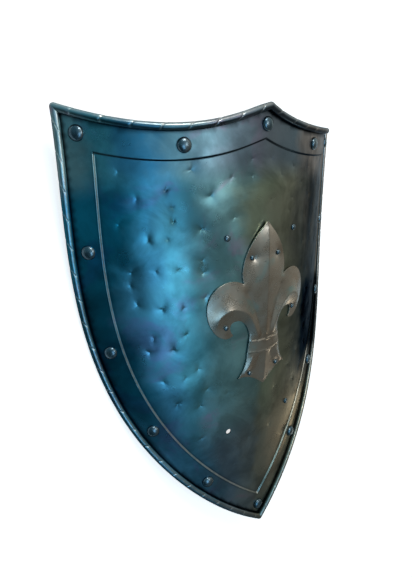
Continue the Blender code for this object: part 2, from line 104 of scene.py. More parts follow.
# Painted highlight, the tool marks' worn bright metal and painted shade round the roll, in degrees from its
# inner side over its top to its outer side
RIDGE_AT = 58
RIDGE_WIDTH = 26
RIDGE_HIGHLIGHT = 0.35
LIP_SPAN = (88, 40, 165, 30)
LIP_HIGHLIGHT = 0.65
SCRATCH_WORN = 0.5
OUTER_SHADE = (88, 30, 0.75)
INNER_SHADE = (70, 30)
ROLL_FOOT_SHADE = (-5, 25)

# Painted highlight and painted shade along the step, in widths of it from its top, and painted shadow in the
# crease by the roll
STEP_SPAN = (-0.05, 0.3, 0.75, 0.3)
STEP_LINES = ((-0.35, 0.3), (1.4, 0.4))
STEP_HIGHLIGHT = 0.5
LINE_SHADE = 0.7
CREASE = (2 * ROLL_RADIUS - 0.0004, 0.0030)

# The fleur-de-lis, and its right half on a figure of its own size with its top at 0, 0
FLEUR_HEIGHT = 0.225
FIGURE_HEIGHT = 225
FLEUR_DROP = 0.2171
FLEUR_SHEET = 0.0016
FLEUR_SPRING = 0.0022
FLEUR_RIVET_PAD = 0.0042
PETAL_EDGE = ((0, 0), (10, -10), (19, -19), (27, -29.5), (33, -41), (36.5, -53), (37.5, -64), (36, -74))
SIDE_PETAL_EDGE = ((36, -74), (47, -69.5), (60, -69), (72, -73.5), (81, -82), (86, -93), (87, -104),
                   (85.5, -115), (81, -126), (74, -135.5), (65, -141.5), (58, -142.5), (51, -140))
CURL_EDGE = ((51, -140), (54.5, -134), (55.5, -127.5), (52, -122.5), (45, -121.5), (38, -124),
             (32, -130), (28, -138), (26, -146), (26.5, -152))
WAIST_EDGE = ((26.5, -152), (30, -172))
FOOT_EDGE = ((30, -172), (31, -181), (35.5, -193.5), (44, -205))
FOOT_END = ((44, -205), (36, -204.2), (25, -207.5), (14, -214), (6, -220.5), (0, -225))
FLEUR_RIVETS = ((23, -43), (61.5, -127.5), (25, -201.3))

# Heights of its embossing over the sheet where it lies flat, along each line: u, v, height in mm
PETAL_RIDGE = ((0, -7, 2.6), (0, -30, 5.0), (0, -60, 6.0), (0, -95, 5.6), (0, -125, 5.0), (0, -149, 4.4))
SIDE_RIDGE = ((74, -122, 1.6), (72, -113, 3.2), (64, -106.5, 4.4), (56, -104, 5.0), (47, -105, 5.2),
              (38, -109, 5.2), (30, -116, 5.0), (23, -127, 4.6), (17, -140, 4.2), (14, -149, 3.6))
PETAL_CREASE = ((30, -86, 0.8), (24, -99, 1.2), (17, -116, 1.6), (11.5, -133, 2.0), (7.5, -149, 2.6))
FOOT_RIDGE = ((22, -178, 2.8), (27, -189, 2.4), (35, -200, 1.0))
FOOT_CREASE = ((10, -178, 1.6), (15, -191, 1.0), (19, -204, 0.3))
TOE_RIDGE = ((0, -178, 3.6), (0, -196, 3.0), (0, -218, 1.2))
BAND_TOP = ((0, -155.5), (13, -154.5), (24, -153))
BAND_FOOT = ((0, -174), (13, -173), (26.5, -171.2))
BAND_RISE = 5.0
BAND_STEP = 1.4
BAND_EDGE = 0.9
BAND_FADE = 0.6
BAND_LIP = (0.35, 1.6, 0.8)         # the lip's height, inset and width

# The square grid that the embossing is worked out on, and its stages: pitch and rounds
EMBOSS_HALF = 0.0960
EMBOSS_HEIGHT = 0.234
EMBOSS_FOOT = (0, -230)
EMBOSS_STAGES = ((0.0024, 300), (0.0012, 300), (0.0006, 260))
EMBOSS_PITCH = EMBOSS_STAGES[-1][0]

# Rivets: the radii of head and shank, and the height of the head's dome
BORDER_RIVET = {"head": 0.0081, "dome": 0.0048, "shank": 0.0030, "tail": 0.0050, "peen": 0.0018}
STRAP_RIVET = {"head": 0.0041, "dome": 0.0024, "shank": 0.0025, "tail": 0.0036, "peen": 0.0012}
FLEUR_RIVET = {"head": 0.0033, "dome": 0.0020, "shank": 0.0016, "tail": 0.0027, "peen": 0.0010}
DOME_ARCS = 14
DOME_FULLNESS = 0.9
PEEN_FLAT = 0.72
PEEN_STEP = 0.6
RIVET_SIDES = 40

# How finely the plate is drawn
OUTLINE_POINTS = 160
ROLL_PITCH = 0.0034
ROLL_ARCS = 20
CORNER_ARCS = 7
STEP_PITCH = 0.0030
FIELD_PITCH = 0.0040
BORDER_PITCH = 0.0060
BACK_PITCH = 0.0090
BACK_RINGS = ((0.0, 1), (0.0035, 6), (0.0080, 8))
BACK_MARK_ROOM = 0.012
BACK_HOLE_ROOM = 0.008
BACK_EDGE_ROOM = 0.004
EDGE_PITCH = 0.004
STEP_SHARES = (-0.8, -0.25, 0.0, 0.2, 0.4, 0.6, 0.8, 1.0, 1.25, 1.9)
HOLE_SIDES = 28
HOLE_RING = 0.0012
HOLE_ROOM = 0.006
SAME_PLACE = 1e-6
NORMAL_STEP = 0.00025
SLOPE_STEP = 0.0004
GRID_TOP = 0.03
MARK_TO_GRID = 0.0012
STEP_ROOM = 0.0015

# How finely the fleur-de-lis is drawn, and its rounded edge as inset and depth
FLEUR_PARTS = 7
FLEUR_PITCH = 0.0014
FLEUR_RIM = 0.00045
FLEUR_RIM_ROOM = 0.0007
FLEUR_EDGE = ((0.00012, 0.00016), (0.0, 0.0005), (0.0, FLEUR_SHEET))
CORNER_LIMIT = 2.5

# The camera
CAMERA = ((0.79124, 0.20553, -0.57594, -0.35521), (-0.11637, 0.97522, 0.18815, 0.17856),
          (0.60034, -0.08185, 0.79555, 0.44273), (0, 0, 0, 1))
SENSOR = 24.0
LENS = 16.407

# Area lights: name, place, target, size, power and colour
LIGHTS = (
    ("sky strip", (-0.67, -0.75, 2.0), (-0.67, -0.75, 0.0), (0.70, 1.4), 7, (0.38, 0.70, 1.0)),
    ("overhead", (0.25, 0.15, 2.0), (0.25, 0.15, 0.0), (0.5, 0.5), 3, (0.95, 0.98, 1.0)),
    ("warm card", (0.95, -0.80, 0.06), (0.1, -0.1, 0.06), (0.50, 0.11), 0.5, (1.0, 0.88, 0.70)),
    ("back card", (-0.15, 1.05, 1.00), (0.0, 0.15, 0.05), (0.35, 0.25), 4, (1.0, 0.96, 0.92)),
)
FLOOR_SIZE = 3.0

# The dim room's colours from -X to +X, and its lightness from -Y to +Y
ROOM_ACROSS = ((0.0, (0.05, 0.10, 0.12)), (0.15, (0.04, 0.10, 0.13)), (0.30, (0.06, 0.14, 0.18)),
               (0.45, (0.16, 0.26, 0.32)), (0.60, (0.26, 0.30, 0.30)), (0.80, (0.24, 0.25, 0.24)),
               (0.91, (0.20, 0.20, 0.18)), (0.97, (0.34, 0.34, 0.31)), (1.0, (0.46, 0.45, 0.40)))
ROOM_ALONG = ((0.0, 0.25), (0.22, 0.30), (0.33, 0.37), (0.43, 0.50), (0.50, 0.75), (0.65, 1.0), (1.0, 0.8))
ROOM_STRENGTH = 2.0

# The plate's colours change with the place on the shield, in metres
COLOUR_HALF = 0.22
TOP_BAND = (0.20, 0.235)
LOWER_PART = (-0.03, -0.17)
# Where a near-black painted dark reflection lies on the right: its middle, and its half width and height
DARK_REFLECTION_AT = (0.160, 0.010)
DARK_REFLECTION_HALF = (0.085, 0.062)


def cubic(start, pull_out, pull_in, end, share):
    """A point on a cubic curve."""
    rest = 1.0 - share
    return (start * rest ** 3 + pull_out * 3 * rest ** 2 * share
            + pull_in * 3 * rest * share ** 2 + end * share ** 3)


def heading(degrees, side=1):
    """The flat direction that many degrees over the level, to the right or to the left."""
    return np.array((side * math.cos(math.radians(degrees)), math.sin(math.radians(degrees))))


def drawn(start, pull_out, pull_in, end):
    """A cubic curve as points."""
    shares = np.linspace(0, 1, OUTLINE_POINTS + 1)[:, None]
    return cubic(start, pull_out, pull_in, end, shares)


def half_outline(side, cut):
    """The top curve and the side curve of one half, from the peak to the ear and on to the tip."""
    half = WIDTH / 2
    peak, tip = np.array((0, PEAK_RISE)), np.array((TIP_AWAY, PEAK_RISE - HEIGHT))
    ear = np.array((side * half, -cut["ear_down"]))
    top = drawn(peak, peak + heading(-cut["peak_slope"], side) * cut["peak_pull"] * half,
                ear + heading(180 + cut["ear_slope"], side) * cut["ear_pull"] * half, ear)
    down = drawn(ear, ear + heading(cut["flare"] - 90, side) * cut["flare_pull"] * HEIGHT,
                 tip + heading(cut["tip_slope"], side) * cut["tip_pull"] * HEIGHT, tip)
    return top, down


def edge_curves():
    """The blank's edge as four curves, clockwise from the peak."""
    right_top, right_side = half_outline(1, RIGHT)
    left_top, left_side = half_outline(-1, LEFT)
    return [right_top, right_side, left_side[::-1], left_top[::-1]]


def outward(curve):
    """For each point of a clockwise curve, the direction out of the blank."""
    along = np.gradient(curve, axis=0)
    along /= np.linalg.norm(along, axis=1)[:, None]
    return np.stack((-along[:, 1], along[:, 0]), axis=1)


def corner(one, two):
    """Where the end of one curve crosses the start of another, with each curve's point next to it."""
    for i in range(len(one) - 1, 0, -1):
        a, along = one[i - 1], one[i] - one[i - 1]
        c, other = two[:-1], two[1:] - two[:-1]
        turn = along[0] * other[:, 1] - along[1] * other[:, 0]
        s = ((c - a)[:, 0] * other[:, 1] - (c - a)[:, 1] * other[:, 0]) / turn
        t = ((c - a)[:, 0] * along[1] - (c - a)[:, 1] * along[0]) / turn
        found = np.nonzero((s >= 0) & (s <= 1) & (t >= 0) & (t <= 1))[0]
        if len(found):
            return i, a + along * s[found[0]], found[0] + 1
    raise ValueError("the line is too far inside the edge")


def line_curves(distance):
    """The four curves of a line at one distance inside the edge, each ending where it meets the next."""
    curves = [curve - outward(curve) * distance for curve in edge_curves()]
    corners = [corner(one, two) for one, two in zip(curves, curves[1:] + curves[:1])]
    return [np.concatenate((start[None], curve[first:last], end[None]))
            for curve, (_, start, first), (last, end, _) in zip(curves, corners[-1:] + corners[:-1], corners)]


def along_curve(curve, wanted):
    """The points at those distances along a curve."""
    lengths = np.concatenate(((0,), np.cumsum(np.linalg.norm(np.diff(curve, axis=0), axis=1))))
    return np.stack([np.interp(wanted, lengths, curve[:, k]) for k in range(2)], axis=1)


def length_of(curve):
    """A curve's length."""
    return np.linalg.norm(np.diff(curve, axis=0), axis=1).sum()


def spaced(curve, count):
    """A curve as that many equal steps, both ends kept."""
    return along_curve(curve, np.linspace(0, length_of(curve), count + 1))


def closed_line(distance, pitch):
    """A line inside the edge as one closed loop with equal steps, seen anticlockwise from the front."""
    curves = [spaced(curve, round(length_of(curve) / pitch))[:-1] for curve in line_curves(distance)]
    return np.concatenate(curves)[::-1]


def inward(loop):
    """For each point of an anticlockwise loop, the step inwards that keeps its sides at distance 1."""
    before = loop - np.roll(loop, 1, axis=0)
    after = np.roll(loop, -1, axis=0) - loop
    left = np.stack((-before[:, 1], before[:, 0]), axis=1) / np.linalg.norm(before, axis=1)[:, None]
    right = np.stack((-after[:, 1], after[:, 0]), axis=1) / np.linalg.norm(after, axis=1)[:, None]
    return (left + right) / (1 + (left * right).sum(axis=1))[:, None]


def bent(flat, lift):
    """The flat blank's points as places on the bent shield."""
    angle = flat[:, 0] / BEND_RADIUS
    radius = BEND_RADIUS + lift
    return np.stack((radius * np.sin(angle), flat[:, 1], radius * np.cos(angle) - BEND_RADIUS), axis=1)


def turned(flat, ways, rises):
    """Flat directions with their rises, as directions at those places on the bent shield."""
    angle = flat[:, 0] / BEND_RADIUS
    none = 0 * angle
    across = np.stack((np.cos(angle), none, -np.sin(angle)), axis=1)
    out = np.stack((np.sin(angle), none, np.cos(angle)), axis=1)
    return across * ways[:, :1] + ways[:, 1:] * (0, 1, 0) + out * rises


def laid(places):
    """Places on the standing shield as places on the lying one."""
    return places @ LIE_MATRIX.T + LIE_AT


def smooth(share):
    """A share from 0 to 1 eased at both ends."""
    share = np.clip(share, 0, 1)
    return share * share * (3 - 2 * share)


def span(value, start, rise, end, fall):
    """1 from one place to another, eased over the rise after the start and over the fall after the end."""
    return smooth((value - start) / rise) * (1 - smooth((value - end) / fall))


def bump(value, middle, width):
    """1 at the middle, and fading away to both sides."""
    return np.exp(-((value - middle) / width) ** 2)


def inside(points, loop):
    """Which flat points are inside a closed loop."""
    within = np.zeros(len(points), bool)
    for a, b in zip(loop, np.roll(loop, -1, axis=0)):
        if a[1] != b[1]:
            over = (a[1] > points[:, 1]) != (b[1] > points[:, 1])
            within ^= over & (points[:, 0] < a[0] + (b[0] - a[0]) * (points[:, 1] - a[1]) / (b[1] - a[1]))
    return within


def distance_to(points, loop):
    """The distance from each flat point to a closed loop."""
    least = np.full(len(points), np.inf)
    for a, b in zip(loop, np.roll(loop, -1, axis=0)):
        along = b - a
        share = np.clip((points - a) @ along / (along @ along), 0, 1)
        least = np.minimum(least, np.linalg.norm(points - a - share[:, None] * along, axis=1))
    return least


def nearest(points, others):
    """The distance from each flat point to the nearest of the others."""
    return np.linalg.norm(points[:, None] - others[None], axis=2).min(axis=1)


def normals_of(points, lift_of):
    """A face's directions at flat points, from small steps each way over its lifts."""
    sides = []
    for step in ((NORMAL_STEP, 0), (0, NORMAL_STEP)):
        ahead, behind = points + step, points - np.array(step)
        sides.append(bent(ahead, lift_of(ahead)) - bent(behind, lift_of(behind)))
    across = np.cross(sides[0], sides[1])
    return across / np.linalg.norm(across, axis=1)[:, None]


def hammer_marks():
    """The hammer marks that are in the field, on this blank."""
    wide, high = HAMMER_BLANK
    marks = np.array([(u * WIDTH / wide, v * HEIGHT / high) for v, row in HAMMER_ROWS for u in row])
    step_foot = closed_line(BORDER + STEP_WIDTH, STEP_PITCH)
    return marks[inside(marks, step_foot) & (distance_to(marks, step_foot) > MARK_TO_STEP)]


def mark_shape(points, mark, number):
    """One hammer mark's depth at each point: a soft, uneven hollow drawn to a sharp middle."""
    away = points - mark
    far = np.linalg.norm(away, axis=1)
    turn = np.arctan2(away[:, 1], away[:, 0])
    flanks = 0.16 * np.cos(2 * turn + 1.7 * number) + 0.13 * np.cos(3 * turn + 2.9 * number)
    deep = 0.85 + 0.3 * math.sin(5.1 * number)
    hollow = np.exp(-far / MARK_FALL) * (1 - smooth(far / MARK_REACH))
    hollow *= 1 + flanks * smooth(far / MARK_MIDDLE)
    return deep * (MARK_DEPTH * hollow + MARK_PINCH * np.exp(-far / MARK_POINT))


def sideways(across):
    """1 where a line's outward direction is mostly across the shield, as on its sides, and 0 at its top."""
    return smooth((across ** 2 - 0.15) / 0.5)


class Relief:
    """The plate's front face: how high each flat point is lifted, and where highlight and shade are painted
    on its steel.
    """

    def __init__(self):
        self.marks = hammer_marks()
        self.outline = closed_line(0, EDGE_PITCH)

    def lifts(self, points):
        """The front face's lift at flat points."""
        inset = distance_to(points, self.outline)
        lift = SHEET - STEP_DEPTH * smooth((inset - BORDER) / STEP_WIDTH)
        for number, mark in enumerate(self.marks):
            near = np.nonzero(np.abs(points - mark).max(axis=1) < MARK_REACH)[0]
            lift[near] -= mark_shape(points[near], mark, number)
        u, v = points[:, 0], points[:, 1]
        waves = sum(np.sin(across * u + along * v + start) for across, along, start in WAVES)
        return lift + WAVE_HEIGHT * waves * smooth((inset - BORDER) / WAVE_START)

    def painted_light_and_wear(self, points):
        """The front face's painted highlight and painted shade: a painted highlight on the side steps' flank
        on the left, painted shade on the top step's flank and in lines beside the side steps, and a painted
        shadow in the crease at the rolled edge.
        """
        inset = distance_to(points, self.outline)
        level = sideways((distance_to(points + (SLOPE_STEP, 0), self.outline) - inset) / SLOPE_STEP)
        down = (inset - BORDER) / STEP_WIDTH
        flank = span(down, *STEP_SPAN)
        lines = sum(bump(down, *line) for line in STEP_LINES)
        crease = 1 - smooth((inset - CREASE[0]) / CREASE[1])
        # Painted shade on the top step's flank and in thin lines beside the side steps, and a painted shadow
        # in the crease by the roll
        painted_shade = np.maximum(flank * (1 - level), LINE_SHADE * lines * level)
        # A painted highlight on the side steps' flank, on the left side only
        highlight_and_wear = STEP_HIGHLIGHT * flank * level * (points[:, 0] < 0)
        return highlight_and_wear, np.clip(np.maximum(painted_shade, crease), 0, 1)


def circle(centre, radius, sides, turn=0.0):
    """A round as flat points, anticlockwise."""
    angles = math.radians(turn) + np.arange(sides) * 2 * math.pi / sides
    return np.asarray(centre) + radius * np.stack((np.cos(angles), np.sin(angles)), axis=1)


def border_rivet_places():
    """Down the middle of the border, in equal steps along each top curve and each side."""
    counts = (TOP_RIVET_COUNT, SIDE_RIVET_COUNT, SIDE_RIVET_COUNT, TOP_RIVET_COUNT)
    curves = line_curves(ROLL_RADIUS + BORDER / 2)
    return np.concatenate([spaced(curve, count)[:-1] for curve, count in zip(curves, counts)])


def strap_places():
    """The straps' four holes by name."""
    return {f"{level}_{side}": np.array((away * STRAP_SPREAD * WIDTH, -drop * HEIGHT))
            for level, drop in (("upper", STRAP_UPPER), ("lower", STRAP_LOWER))
            for side, away in (("left", -1), ("right", 1))}


def grid(pitch):
    """Staggered points all over the blank."""
    row_pitch = pitch * math.sin(math.radians(60))
    rows = np.arange(round((HEIGHT + GRID_TOP) / row_pitch))
    columns = np.arange(-round(WIDTH / 2 / pitch) - 1, round(WIDTH / 2 / pitch) + 2)
    u = columns[None, :] * pitch + (rows % 2)[:, None] * pitch / 2
    v = GRID_TOP - rows[:, None] * row_pitch + 0 * u
    return np.stack((u.ravel(), v.ravel()), axis=1)


def triangulated(points, edges):
    """Triangles over flat points, as the points' numbers."""
    places, _, faces, sources, _, _ = delaunay_2d_cdt([Vector(p) for p in points], edges, [], 1, 1e-8)
    number = np.array([source[0] for source in sources])
    corners = number[np.array(faces)]
    a, b, c = (points[corners[:, k]] for k in range(3))
    flipped = (b - a)[:, 0] * (c - a)[:, 1] - (b - a)[:, 1] * (c - a)[:, 0] < 0
    corners[flipped] = corners[flipped][:, ::-1]
    return corners


def new_object(name, mesh, material):
    """A mesh as a new object in the scene."""
    mesh.materials.append(material)
    made = bpy.data.objects.new(name, mesh)
    bpy.context.scene.collection.objects.link(made)
    return made


class Surface:
    """Vertices with their normals, and faces, gathered into one mesh.

    Each vertex also has two shares for the material: how much painted highlight and worn bright metal it has,
    and how much painted shade.
    """

    def __init__(self):
        self.places, self.normals, self.shares, self.faces, self.count = [], [], [], [], 0

    def add(self, places, normals, highlight_and_wear=0.0, painted_shade=0.0):
        """More vertices, as their numbers."""
        first = self.count
        self.places.append(places)
        self.normals.append(normals)
        none = np.zeros(len(places))
        self.shares.append(np.stack((none + highlight_and_wear, none + painted_shade, none, none + 1), axis=1))
        self.count += len(places)
        return np.arange(first, self.count)

    def grid(self, rows):
        """Faces between closed rows of vertex numbers."""
        rows = [np.concatenate((row, row[:1])) for row in rows]
        for one, two in zip(rows, rows[1:]):
            self.faces += np.stack((one[:-1], one[1:], two[1:], two[:-1]), axis=1).tolist()

    def made(self, name, material):
        """The mesh as a new object on the shield's body, lying down."""
        places, normals = np.concatenate(self.places), np.concatenate(self.normals)
        mesh = bpy.data.meshes.new(name)
        mesh.from_pydata(laid(places).tolist(), [], self.faces)
        mesh.shade_smooth()
        mesh.normals_split_custom_set_from_vertices((normals @ LIE_MATRIX.T).tolist())
        painted_light_and_wear = mesh.attributes.new("painted_light_and_wear", "FLOAT_COLOR", "POINT")
        painted_light_and_wear.data.foreach_set("color", np.concatenate(self.shares).ravel())
        return new_object(name, mesh, material)


def roll_stations():
    """For each curve of the edge, the shares of its length at which the rolled edge is drawn, closer at each
    tool mark, and how far along each of them is from the nearest mark."""
    stations = []
    for curve in line_curves(ROLL_RADIUS):
        length = length_of(curve)
        marks = np.linspace(0, length, round(length / NOTCH_PITCH) + 1)
        marks = (marks[1:] + marks[:-1]) / 2
        near = (marks[:, None] + NOTCH_STATIONS).ravel()
        plain = np.linspace(0, length, round(length / ROLL_PITCH) + 1)
        plain = plain[np.abs(plain[:, None] - marks[None]).min(axis=1) > NOTCH_CLEAR]
        at = np.sort(np.concatenate((near, plain)))
        off = at - marks[np.abs(at[:, None] - marks[None]).argmin(axis=1)]
        stations.append((at / length, off))
    return stations


def off_marks(stations):
    """How far each point of the rolled edge's rows is along from the nearest tool mark."""
    far = np.full(CORNER_ARCS - 1, NOTCH_PITCH)
    return np.concatenate([np.concatenate((off, far)) for _, off in stations])[::-1]


def roll_row(inset, stations):
    """One row along the rolled edge, with the direction out of the blank at each of its points.

    It goes round the corners outside the roll's middle line, and is sharp inside it.
    """
    beyond = max(0.0, ROLL_RADIUS - inset)
    curves = [along_curve(curve, shares * length_of(curve))
              for curve, (shares, _) in zip(line_curves(max(inset, ROLL_RADIUS)), stations)]
    ways = [outward(curve) for curve in curves]
    turns = (np.arange(1, CORNER_ARCS) / CORNER_ARCS)[:, None]
    row, out = [], []
    for curve, way, following in zip(curves, ways, ways[1:] + ways[:1]):
        turning = way[-1] * (1 - turns) + following[0] * turns
        turning /= np.linalg.norm(turning, axis=1)[:, None]
        row += [curve + way * beyond, curve[-1] + turning * beyond]
        out += [way, turning]
    return np.concatenate(row)[::-1], np.concatenate(out)[::-1]


class Flat:
    """Flat points gathered for one triangulation, and the loops of edges that it keeps."""

    def __init__(self):
        self.rows, self.edges, self.count = [], [], 0

    def add(self, points):
        """More points, as their numbers."""
        self.rows.append(points)
        self.count += len(points)
        return np.arange(self.count - len(points), self.count)

    def loop(self, points):
        """More points, joined into a closed loop."""
        numbers = self.add(points)
        self.edges.extend(zip(numbers.tolist(), np.roll(numbers, -1).tolist()))
        return numbers

    def triangles(self, hole=None):
        """All the points, and the triangles over them without those in the hole."""
        points = np.concatenate(self.rows)
        corners = triangulated(points, self.edges)
        if hole is not None:
            away = np.linalg.norm(points[corners].mean(axis=1) - hole, axis=1)
            corners = corners[away > HOLE_RADIUS * math.cos(math.pi / HOLE_SIDES)]
        return points, corners


def mark_points(marks):
    """Rings of points round each hammer mark, as far as they are on its side of the next mark."""
    spots = []
    for number, mark in enumerate(marks):
        rings = [circle(mark, radius, sides, RING_TURN * sides + MARK_TURN * number)
                 for radius, sides in MARK_RINGS]
        rings = np.concatenate([mark[None]] + rings)
        room = nearest(rings, np.delete(marks, number, axis=0))
        spots.append(rings[np.linalg.norm(rings - mark, axis=1) < room - MARK_GAP])
    return np.concatenate(spots)


def field_points(marks, step_foot, hole):
    """Points in the sunk field: rings round the marks, and a grid between them."""
    field = grid(FIELD_PITCH)
    field = field[nearest(field, marks) > MARK_RINGS[-1][0] + MARK_TO_GRID]
    field = np.concatenate((mark_points(marks), field))
    field = field[inside(field, step_foot)]
    field = field[distance_to(field, step_foot) > STEP_ROOM]
    return field[np.linalg.norm(field - hole, axis=1) > HOLE_ROOM]


def border_points(foot, step_top):
    """A grid of points on the flat border."""
    border = grid(BORDER_PITCH)
    border = border[inside(border, foot) & ~inside(border, step_top)]
    return border[(distance_to(border, foot) > BORDER_PITCH * 0.5)
                  & (distance_to(border, step_top) > BORDER_PITCH * 0.5)]


def back_points(marks, foot, hole):
    """A coarser grid of points for the back, with a few round each mark."""
    coarse = grid(BACK_PITCH)
    coarse = coarse[inside(coarse, foot)]
    coarse = coarse[nearest(coarse, marks) > BACK_MARK_ROOM]
    rings = [circle(mark, radius, sides) for mark in marks for radius, sides in BACK_RINGS]
    coarse = np.concatenate((coarse, *rings))
    return coarse[(distance_to(coarse, foot) > BACK_EDGE_ROOM)
                  & (np.linalg.norm(coarse - hole, axis=1) > BACK_HOLE_ROOM)]


def add_faces(surface, relief, foot):
    """The plate's front and back between the rolled edge's foot and the hole, and the hole's wall."""
    hole = strap_places()[MISSING_RIVET]
    rim = circle(hole, HOLE_RADIUS, HOLE_SIDES)
    steps = [closed_line(BORDER + STEP_WIDTH * share, STEP_PITCH) for share in STEP_SHARES]

    front = Flat()
    for line in [foot] + steps:
        front.loop(line)
    hole_numbers = front.loop(rim)
    front.add(circle(hole, HOLE_RADIUS + HOLE_RING, HOLE_SIDES, 6))
    front.add(field_points(relief.marks, steps[-1], hole))
    front.add(border_points(foot, steps[0]))
    points, triangles = front.triangles(hole)
    lifts = relief.lifts(points)
    lifts[:len(foot)] = SHEET
    surface.add(bent(points, lifts), normals_of(points, relief.lifts), *relief.painted_light_and_wear(points))
    surface.faces += triangles.tolist()

    back = Flat()
    back.loop(foot)
    rim_numbers = back.loop(rim)
    back.add(back_points(relief.marks, foot, hole))
    points, triangles = back.triangles(hole)
    back_lifts = relief.lifts(points) - SHEET
    back_lifts[:len(foot)] = 0
    numbers = surface.add(bent(points, back_lifts), -normals_of(points, relief.lifts))
    surface.faces += numbers[triangles[:, ::-1]].tolist()

    out = np.column_stack((hole - rim, np.zeros(HOLE_SIDES))) / HOLE_RADIUS
    surface.grid([surface.add(bent(rim, lifts[hole_numbers]), out),
                  surface.add(bent(rim, back_lifts[rim_numbers]), out)])


def roll_light_and_wear(degrees, ways, scratch):
    """One row round the roll: its painted highlight with the tool marks' worn bright metal, and its painted
    shade.
    """
    level = sideways(ways[:, 0])
    # Painted highlights along the side rolls' ridge and on the top roll's outer lip; the tool marks add worn
    # bright metal
    ridge = RIDGE_HIGHLIGHT * bump(degrees, RIDGE_AT, RIDGE_WIDTH)
    lip = LIP_HIGHLIGHT * span(degrees, *LIP_SPAN)
    highlight_and_wear = np.clip(level * ridge + (1 - level) * lip + SCRATCH_WORN * scratch, 0, 1)
    # Painted shade on the side rolls' outer half, under the top roll, and at the roll's foot
    outer = smooth((degrees - OUTER_SHADE[0]) / OUTER_SHADE[1])
    inner = 1 - smooth((degrees - INNER_SHADE[0]) / INNER_SHADE[1])
    crease = 1 - smooth((degrees - ROLL_FOOT_SHADE[0]) / ROLL_FOOT_SHADE[1])
    painted_shade = np.maximum(OUTER_SHADE[2] * (level * outer + (1 - level) * inner), crease)
    return highlight_and_wear, painted_shade * (1 - 0.6 * scratch)


def add_roll(surface, stations):
    """The rolled edge, with its slanted tool marks."""
    off_mark = off_marks(stations)
    start = math.asin((SHEET - ROLL_RADIUS) / ROLL_RADIUS)
    places, plain, rows_light_and_wear = [], [], []
    for arc in range(ROLL_ARCS + 1):
        angle = start + (1.5 * math.pi - start) * arc / ROLL_ARCS
        lean = NOTCH_SLANT * ROLL_RADIUS * (angle - math.pi / 2)
        scratch = bump(off_mark, lean, NOTCH_WIDTH) * span(angle, *NOTCH_SPAN)
        cut = NOTCH_DEPTH * scratch + ROLL_TRIM * span(angle, *TRIM_SPAN)
        row, ways = roll_row(ROLL_RADIUS * (1 + math.cos(angle)), stations)
        row = row + ways * (cut * math.cos(angle))[:, None]
        places.append(bent(row, ROLL_RADIUS + (ROLL_RADIUS - cut) * math.sin(angle)))
        plain.append(turned(row, -ways * math.cos(angle), math.sin(angle)))
        rows_light_and_wear.append(roll_light_and_wear(math.degrees(angle), ways, scratch))
    places, plain = np.array(places), np.array(plain)
    along = np.roll(places, -1, axis=1) - np.roll(places, 1, axis=1)
    normals = np.cross(np.gradient(places, axis=0), along)
    lengths = np.linalg.norm(normals, axis=2)[:, :, None]
    normals = np.where(lengths > 1e-10, normals / np.maximum(lengths, 1e-10), plain)
    surface.grid([surface.add(row, normal, *painted_light_and_wear)[::-1]
                  for row, normal, painted_light_and_wear in zip(places, normals, rows_light_and_wear)])


def make_plate(relief, material):
    """The bent sheet, drawn finely: front with its step and marks, back, hole and rolled edge."""
    surface = Surface()
    stations = roll_stations()
    foot, _ = roll_row(ROLL_RADIUS + math.sqrt(ROLL_RADIUS ** 2 - (ROLL_RADIUS - SHEET) ** 2), stations)
    foot = foot[np.linalg.norm(foot - np.roll(foot, 1, axis=0), axis=1) > SAME_PLACE]
    add_faces(surface, relief, foot)
    add_roll(surface, stations)
    return surface.made("plate", material)


def through(points, parts):
    """A smooth curve through the points, each stretch in that many parts."""
    points = np.asarray(points, float)
    ends = np.concatenate(((points[0] * 2 - points[1])[None], points, (points[-1] * 2 - points[-2])[None]))
    curve = []
    for a, b, c, d in zip(ends, ends[1:], ends[2:], ends[3:]):
        curve += [cubic(b, b + (c - a) / 6, c - (d - b) / 6, c, i / parts) for i in range(parts)]
    return np.array(curve + [points[-1]])


def on_fleur(points, side=1):
    """Points of the fleur-de-lis's figure on the blank."""
    points = np.asarray(points, float)
    unit = FLEUR_HEIGHT / FIGURE_HEIGHT
    return points[..., :2] * (side * unit, unit) - (0, FLEUR_DROP * HEIGHT)


def fleur_outline():
    """The figure's edge, anticlockwise from its top: smooth curves between corners."""
    half = np.zeros((0, 2))
    for curve in (PETAL_EDGE, SIDE_PETAL_EDGE, CURL_EDGE, WAIST_EDGE, FOOT_EDGE, FOOT_END):
        smoothed = through(on_fleur(curve), FLEUR_PARTS)
        half = np.concatenate((half, smoothed[1:] if len(half) else smoothed))
    return np.concatenate((half * (-1, 1), half[1:-1][::-1]))


